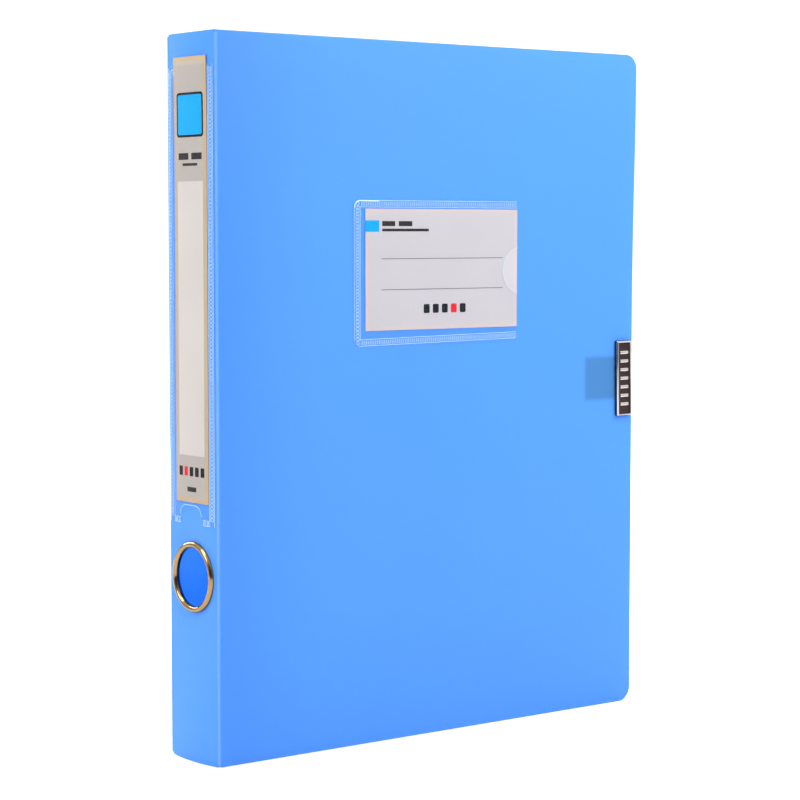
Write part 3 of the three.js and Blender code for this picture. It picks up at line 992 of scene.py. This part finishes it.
def makeSpinePocket():
    p = spinePocketSettings
    low, high = boxOf("spine_pocket_film")
    left, right, foot, head = low[1] - p["spareNear"], high[1] + p["spareFar"], low[2], high[2]
    middle = (left + right) / 2
    half, radius = p["notchWidth"] / 2, p["notchRadius"]
    roundFrom = half - radius

    def hem(y):
        # lower edge of the film, with the thumb notch
        over = max(0.0, abs(y - middle) - roundFrom)
        if over >= radius:
            return foot
        return foot + p["notchHeight"] - radius + math.sqrt(radius ** 2 - over ** 2)

    def inWeld(y, z):
        return min(y - left - p["weldNear"], right - y - p["weldFar"], z - foot - p["return"])

    def outer(y, z):
        rise = p["raise"] + p["mouth"] * smooth(head - p["mouthReach"], head, z)
        return p["seat"] + p["film"] + rise * smooth(0, p["step"], inWeld(y, z))

    ys = [left, left + 1.2, left + 2.6] + [left + p["weldNear"] + d for d in stepLines]
    ys += [middle - half - 0.4, middle - half - 0.02]
    ys += [middle - half * math.cos(math.radians(a)) for a in range(0, 181, 9)]
    ys += [middle + half + 0.02, middle + half + 0.4]
    ys += [right - p["weldFar"] - d for d in reversed(stepLines)] + [right - 2.6, right - 1.2, right]
    level = foot + p["notchHeight"] + 1.5
    hemRows = [0, 0.1, 0.2, 0.29, 0.305, 0.317, 0.33, 0.345, 0.5, 0.75, 1]  # shares of the way up to level
    upper = spread(level, head, 60)[1:]

    def outline(y, row):
        # the lowest rows follow the hem, the rest are level
        if row < len(hemRows):
            return y, hem(y) + (level - hem(y)) * hemRows[row]
        return y, upper[row - len(hemRows)]

    shape = Shape(mirrored=True)
    slab(shape, ys, range(len(hemRows) + len(upper)), outline, outer, lambda y, z: outer(y, z) - p["film"],
         onSpine, rimSlot=1, slotAt=lambda y, z: int(inWeld(y, z) < weldReach))
    finishFilm(shape, "spinePocketFilm", "spine", "spine_pocket_film")

    welds = Shape(mirrored=True)
    top = p["seat"] + p["film"]
    for side, start, way in ((p["near"], left, 1), (p["far"], right, -1)):
        for z in evenly(foot + p["ovalStart"], head - p["ovalStop"], p["ovalPitch"]):
            ovalRing(welds, start + way * side["line"], z, p["ovalLong"], p["ovalShort"], p["ridge"], top,
                     onSpine, lean=side["lean"])
        zs = spread(foot + p["edgeStart"], head - p["edgeStop"], 60)
        for edge in side["edges"]:
            route = [(start + way * edge, z) for z in zs]
            bead(welds, route, p["edgeWide"], p["edgeRise"], top, onSpine)
    returns = ((left + p["weldNear"], middle - half - 0.4), (middle + half + 0.4, right - p["weldFar"]))
    for start, stop in returns:
        for up in p["footEdges"]:
            route = [(y, foot + up) for y in spread(start, stop, 4)]
            bead(welds, route, p["footEdgeWide"], p["edgeRise"], top, onSpine)
        for share in (0.25, 0.75):
            y = start + (stop - start) * share
            ovalRing(welds, y, foot + p["footLine"], *p["footOval"], p["ridge"], top, onSpine)
    lip = []
    for a in range(-87, 88, 6):
        turn = math.radians(a)
        side = -roundFrom if a < 0 else roundFrom
        lip.append((middle + side + radius * math.sin(turn),
                    foot + p["notchHeight"] - radius + radius * math.cos(turn)))
    bead(welds, lip, p["lipWide"], p["lipRise"], top + p["raise"], onSpine)
    finishPiece(welds, "spinePocketWelds", ["weldRidge"], "spine", sharp=60)


# Label cards: plain fields, rules and bars, no lettering
def printField(shape, left, foot, right, head, base, place, ink, radius=0.0):
    # a thin solid of ink, sunk a little into what it lies on
    if radius:
        arc = cornerSteps(radius, 15)
        along = [foot + d for d in arc] + spread(foot + radius, head - radius, 10)[1:-1]
        along += [head - d for d in reversed(arc)]
        across = spread(0, 1, 12)
    else:
        along = spread(foot, head, max(2, int((head - foot) / 2)))
        across = spread(0, 1, 10)

    def outline(s, z):
        inset = cornerInset(radius, min(z - foot, head - z))
        return left + inset + (right - left - 2 * inset) * s, z

    slab(shape, across, along, outline, flat(base + inkSettings["height"]),
         flat(base - inkSettings["sink"]), place, inkNames.index(ink))


def printSquares(shape, left, foot, squares, base, place):
    # a row of five rounded marks, the fourth red
    for i in range(5):
        x = left + i * squares["pitch"]
        printField(shape, x, foot + squares["foot"], x + squares["wide"], foot + squares["head"], base,
                   place, "inkRed" if i == 3 else "inkDark", squares["radius"])


# Front card: a bar has its ink, its two ends from the card's left edge, and its foot and head
# below the card's head
frontCardSettings = {
    "edge": 0.05,
    "bars": (("inkBlue", 0, 7.6, 10.1, 5.1), ("inkText", 9.2, 16.4, 7.6, 5.4),
             ("inkText", 18.4, 26.0, 7.6, 5.4), ("inkText", 9.2, 35.4, 9.9, 8.7)),
    "rules": {"start": 8.8, "stop": 78.6, "drops": (21.9, 35.5), "half": 0.18},
    "squares": {"start": 32.5, "pitch": 5.2, "wide": 3.4, "foot": 7.2, "head": 11.2, "radius": 0.6},
}


def makeFrontCard():
    card = frontCardSettings
    low, high = boxOf("front_card")
    left, right, foot, head = low[0], high[0], low[2], high[2]
    seat, face = -high[1], -low[1]
    shape = Shape()
    slab(shape, spread(0, 1, 20), spread(0, 1, 14), straight(left, foot, right, head), flat(face),
         flat(seat), onCover)
    piece = finishPiece(shape, "frontCard", ["frontCard"], "cover", bevel=card["edge"])
    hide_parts("front_card")

    marks = Shape()
    for ink, start, stop, below, above in card["bars"]:
        printField(marks, left + start, head - below, left + stop, head - above, face, onCover, ink)
    rules = card["rules"]
    for drop in rules["drops"]:
        printField(marks, left + rules["start"], head - drop - rules["half"], left + rules["stop"],
                   head - drop + rules["half"], face, onCover, "inkRule")
    printSquares(marks, left + card["squares"]["start"], foot, card["squares"], face, onCover)
    finishPiece(marks, "frontCardPrint", inkNames, "cover")


# Spine card: places across are from its middle line; the frame and the bars hang from its head,
# the panel, the squares and the foot bar stand on its foot
spineCardSettings = {
    "edge": 0.05, "shift": -0.3, "lift": 0.245, "liftReach": 26,
    "frame": {"half": 10.0, "foot": 33.6, "head": 14.9, "line": 1, "radius": 1.6, "innerRadius": 0.9},
    "bars": ((-8.8, -1.2, 43.0, 40.2), (1.0, 8.8, 43.0, 40.2), (-5.6, 5.6, 45.6, 44.5)),
    "panel": (-9.6, 9.6, 20.1, 135.9),
    "squares": {"start": -9.4, "pitch": 4.1, "wide": 2.7, "foot": 11.2, "head": 15.2, "radius": 0.5},
    "footBar": (-3.4, 3.4, 4.6, 6.6),
}


def makeSpineCard():
    card = spineCardSettings
    low, high = boxOf("spine_card")
    near, far, foot, head = low[1] + card["shift"], high[1] + card["shift"], low[2], high[2]
    seat, face = -high[0], -low[0]
    middle = (near + far) / 2

    def onCard(y, z, out):
        # the card follows the pocket's mouth outwards at the head
        return onSpine(y, z, out + card["lift"] * smooth(head - card["liftReach"], head, z))

    shape = Shape(mirrored=True)
    slab(shape, spread(0, 1, 24), spread(0, 1, 94), straight(near, foot, far, head), flat(face), flat(seat),
         onCard)
    piece = finishPiece(shape, "spineCard", ["spineCard"], "spine", bevel=card["edge"])
    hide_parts("spine_card")

    marks = Shape(mirrored=True)
    field = card["frame"]
    half, line = field["half"], field["line"]
    printField(marks, middle - half, head - field["foot"], middle + half, head - field["head"], face,
               onCard, "inkDark", field["radius"])
    printField(marks, middle - half + line, head - field["foot"] + line, middle + half - line,
               head - field["head"] - line, face + inkSettings["height"], onCard, "inkBlue",
               field["innerRadius"])
    for start, stop, below, above in card["bars"]:
        printField(marks, middle + start, head - below, middle + stop, head - above, face, onCard,
                   "inkText")
    for ink, (start, stop, bottom, top) in (("inkWhite", card["panel"]), ("inkText", card["footBar"])):
        printField(marks, middle + start, foot + bottom, middle + stop, foot + top, face, onCard, ink)
    printSquares(marks, middle + card["squares"]["start"], foot, card["squares"], face, onCard)
    finishPiece(marks, "spineCardPrint", inkNames, "spine")


# Finger ring: a rolled brass bead, with the barrel and flare behind it, and its washer
ringSettings = {
    "steps": 128,
    "bore": 12.5,
    "proud": 1.75,
    "seat": 0.06,
    "wall": 13.75,
    "lip": 14.62,
    "trumpet": ((0, 0.5), (0.5, 0.9), (0.85, 1.25)),
    "flare": ((1.08, 0.4), (1.35, 0.15), (1.65, 0.02)),
    "washerBore": 13.85,
    "washerEdge": 0.1,
    "washerSteps": 96,
}


def turned(shape, profile, steps):
    # profile of (radius, distance out of the spine), closed on itself
    points = []
    for i in range(steps):
        turn = 2 * math.pi * i / steps
        for radius, out in profile:
            points.append((cornerX - out * mm, cornerY + (ringY + radius * math.cos(turn)) * mm,
                           (ringZ + radius * math.sin(turn)) * mm))
    count = len(profile)
    faces = []
    for i in range(steps):
        for k in range(count):
            a, b = i * count + k, i * count + (k + 1) % count
            c, d = ((i + 1) % steps) * count + (k + 1) % count, ((i + 1) % steps) * count + k
            faces.append([a, b, c, d])
    shape.add(points, faces)


def makeRing():
    r = ringSettings
    back, bore, seat, wall, lip = -ringHigh[0], r["bore"], r["seat"], r["wall"], r["lip"]
    middle, half = (bore + ringRadius) / 2, (ringRadius - bore) / 2
    profile = []
    for i in range(25):
        turn = math.pi * i / 24
        profile.append((middle + half * math.cos(turn), seat + (r["proud"] - seat) * math.sin(turn)))
    # the barrel opens like a trumpet and flares into the lip rolled over inside
    profile += [(bore + wider, -deep) for wider, deep in r["trumpet"]]
    profile += [(bore + wider, back + short) for wider, short in r["flare"]]
    profile += [(lip - 0.12, back), (lip, back + 0.1), (lip, back + 0.38), (wall + 0.03, back + 0.4)]
    profile += [(wall, back + 0.5), (wall, seat)]
    shape = Shape()
    turned(shape, profile, r["steps"])
    piece = finishPiece(shape, "fingerRing", ["brass"], "spine", sharp=50)
    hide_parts("finger_ring")

    low, high = boxOf("finger_ring_washer")
    inner, outer = -high[0], -low[0]
    rim, hole, edge = (high[1] - low[1]) / 2, r["washerBore"], r["washerEdge"]
    shape = Shape()
    turned(shape, [(hole, inner), (rim - edge, inner), (rim, inner + edge), (rim, outer - edge),
                   (rim - edge, outer), (hole, outer)], r["washerSteps"])
    piece = finishPiece(shape, "fingerRingWasher", ["brass"], "spine", sharp=40)
    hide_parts("finger_ring_washer")


# Clasp plate: bright bevelled frame, dark sunk field, plain raised ribs
claspSettings = {
    "rim": ((0.0, 1.1), (0.12, 0.65), (0.3, 0.25), (0.52, 0), (0.74, 0), (0.92, 0.1), (1.06, 0.4),
            (1.12, 1.0)),
    "foot": 0.1,
    "corner": 0.5,
    "cornerSteps": 4,
    "ribs": 7,
    "ribLong": 5.0,
    "ribWide": 1.7,
    "ribRise": 0.72,
    "pitch": 4.1,
    "lean": 0.8,
    "shift": 0.35,
    "field": (0.030, 0.018, 0.017, 1),
}


def roundedRect(left, foot, right, head, inset, radius):
    points = []
    for cx, cz, start in ((right, foot, -90), (right, head, 0), (left, head, 90), (left, foot, 180)):
        inX = cx + (-1 if cx == right else 1) * (inset + radius)
        inZ = cz + (-1 if cz == head else 1) * (inset + radius)
        for i in range(claspSettings["cornerSteps"] + 1):
            turn = math.radians(start + 90 * i / claspSettings["cornerSteps"])
            points.append((inX + radius * math.cos(turn), inZ + radius * math.sin(turn)))
    return points


def makeClasp():
    c = claspSettings
    low, high = boxOf("clasp_plate")
    left, right, foot, head = low[0], high[0], low[2], high[2]
    seat, face = -high[1], -low[1]
    lean = math.radians(c["lean"])
    middleX, middleZ = (left + right) / 2, (foot + head) / 2

    def onPlate(x, z, out):
        # the plate sits slightly out of plumb
        dx, dz = x - middleX, z - middleZ
        across = middleX + c["shift"] + dx - math.sin(lean) * dz
        return onCover(across, middleZ + dz + math.sin(lean) * dx, out)

    # each level is (inset, height): up the side, over the rim and down to the sunk field
    levels = [(0.0, seat), (0.0, seat + c["foot"])] + [(inset, face - down) for inset, down in c["rim"]]
    floor = levels[-1][1]
    points = []
    for inset, out in levels:
        outline = roundedRect(left, foot, right, head, inset, c["corner"] * (1 - inset / 2))
        points += [onPlate(x, z, out) for x, z in outline]
    count = len(points) // len(levels)
    faces = []
    for j in range(len(levels) - 1):
        for k in range(count):
            a, b = j * count + k, j * count + (k + 1) % count
            faces.append([a, b, b + count, a + count])
    faces.append(list(range(count))[::-1])
    faces.append([(len(levels) - 1) * count + k for k in range(count)])
    # slot 2, the plate's side walls, takes the painted shade
    side, frameFace = 3 * count, (len(levels) - 4) * count
    shape = Shape()
    shape.add(points, faces, [2] * side + [0] * frameFace + [0, 1])
    for i in range(c["ribs"]):
        z = middleZ + (i - (c["ribs"] - 1) / 2) * c["pitch"]
        reach = c["ribLong"] / 2
        route = [(middleX - reach, z), (middleX, z), (middleX + reach, z)]
        bead(shape, route, c["ribWide"], c["ribRise"], floor, onPlate)
    piece = finishPiece(shape, "claspPlate", ["chrome", "claspField", "claspSidePaintedShade"], "cover",
                        sharp=30)
    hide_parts("clasp_plate")


# Hook-and-loop pads
padSettings = {
    "margin": 0.5,
    "pitch": 1.15,
    "stub": 0.22,
    "stubTall": 0.45,
    "stubSink": 0.03,
    "stubCorners": (0.6, 2.2, 3.7, 5.3),
    "nap": {"depth": 0.28, "coarse": (1.7, 0.16), "fine": (4.1, 0.1), "edge": 0.8, "edgeDrop": 0.3},
}


def makeHookPad():
    low, high = boxOf("hook_pad")
    left, right, foot, head = low[0], high[0], low[2], high[2]
    margin, pitch = padSettings["margin"], padSettings["pitch"]

    def behindCover(x, z, out):
        return Vector((cornerX + x * mm, cornerY + (out - coverLift(x, z)) * mm, z * mm))

    shape = Shape()
    baseFace = high[1] - padSettings["stubTall"]
    slab(shape, spread(0, 1, 6), spread(0, 1, 6), straight(left, foot, right, head), flat(low[1]),
         flat(baseFace), behindCover)
    for x in evenly(left + margin, right - margin, pitch):
        for z in evenly(foot + margin, head - margin, pitch):
            hookStub(shape, x, z, baseFace - padSettings["stubSink"], high[1], behindCover)
    piece = finishPiece(shape, "hookPad", ["hookTape"], "cover", sharp=60)
    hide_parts("hook_pad")


def hookStub(shape, x, z, root, tip, place):
    wide = padSettings["stub"]
    neck = root + (tip - root) * 0.65
    levels = [(wide, root), (wide * 0.7, neck), (wide * 1.5, neck + 0.06), (wide * 1.1, tip)]
    points = []
    for radius, out in levels:
        for turn in padSettings["stubCorners"]:
            points.append(place(x + radius * math.cos(turn), z + radius * math.sin(turn), out))
    faces = []
    for j in range(0, 12, 4):
        for k in range(4):
            after = (k + 1) % 4
            faces.append([j + 4 + k, j + 4 + after, j + after, j + k])
    faces += [[0, 1, 2, 3], [15, 14, 13, 12]]
    shape.add(points, faces)


def makeLoopPad():
    low, high = boxOf("loop_pad")
    left, right, foot, head = low[0], high[0], low[2], high[2]
    nap = padSettings["nap"]

    def onFlap(x, z, out):
        return Vector((cornerX + x * mm, cornerY + out * mm, z * mm))

    def napFace(x, z):
        often, deep = nap["coarse"]
        rough = noise.noise(Vector((x * often, z * often, 3.1))) * deep
        often, deep = nap["fine"]
        rough += noise.noise(Vector((x * often, z * often, 0))) * deep
        edge = smooth(0, nap["edge"], min(x - left, right - x, z - foot, head - z))
        return low[1] + nap["depth"] + rough * edge + nap["edgeDrop"] * (1 - edge)

    shape = Shape()
    slab(shape, spread(0, 1, 70), spread(0, 1, 64), straight(left, foot, right, head), napFace,
         flat(high[1]), onFlap)
    piece = finishPiece(shape, "loopPad", ["loopTape"], "tray", sharp=80)
    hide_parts("loop_pad")


# Floor: white where the camera sees it, a little greyer as the box sees it
floorSettings = {"reach": 6.0, "colour": (0.72, 0.72, 0.72, 1), "seen": 0.6, "glow": 0.05, "roughness": 0.9,
                 "specular": 0.1}


def makeFloor():
    mesh = bpy.data.meshes.new("floor")
    reach = floorSettings["reach"]
    mesh.from_pydata([(-reach, -reach, 0), (reach, -reach, 0), (reach, reach, 0), (-reach, reach, 0)], [],
                     [[0, 1, 2, 3]])
    floor = bpy.data.objects.new("floor", mesh)
    bpy.context.scene.collection.objects.link(floor)
    material, tree, shader = newMaterial("paleFloor")
    shader.inputs["Base Color"].default_value = floorSettings["colour"]
    shader.inputs["Emission Color"].default_value = (1, 1, 1, 1)
    seen = tree.nodes.new("ShaderNodeLightPath").outputs["Is Camera Ray"]
    glow = calc(tree, "MULTIPLY_ADD", seen, floorSettings["seen"], floorSettings["glow"])
    tree.links.new(glow, shader.inputs["Emission Strength"])
    setFinish(shader, floorSettings["roughness"], floorSettings["specular"])
    mesh.materials.append(material)


makeCamera()
makeRoom()
makeFloor()
print("room ready")

groups = {"sheetGrain": makeSheetGrain(), "hairlines": makeHairlines(), "cardFibre": makeCardFibre(),
          "filmCloud": makeFilmCloud(), "tapeWeave": makeTapeWeave()}
materials = {
    "coverBlue": sheetMaterial("coverBlue", cover=True),
    "spineBlue": sheetMaterial("spineBlue"),
    "trayBlue": sheetMaterial("trayBlue", through="trayThrough", tray=True),
    "creaseBlue": sheetMaterial("creaseBlue", colour="whitened"),
    "claspField": inkMaterial("claspField", claspSettings["field"]),
}
materials.update({name: filmMaterial(name) for name in filmLooks})
materials.update({name: cardMaterial(name) for name in cardLooks})
materials.update({name: inkMaterial(name, colour) for name, colour in inkColours.items()})
materials.update({name: metalMaterial(name) for name in metalLooks})
materials.update({name: tapeMaterial(name) for name in tapeLooks})
print("materials ready")

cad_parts["tray_sheet"].data.materials.clear()
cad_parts["tray_sheet"].data.materials.append(materials["trayBlue"])
makeCover()
makeSpine()
makeCreases()
print("sheets ready")
makeFrontPocket()
makeSpinePocket()
makeFrontCard()
makeSpineCard()
print("pockets and cards ready")
makeRing()
makeClasp()
makeHookPad()
makeLoopPad()
print("ring, clasp and pads ready")
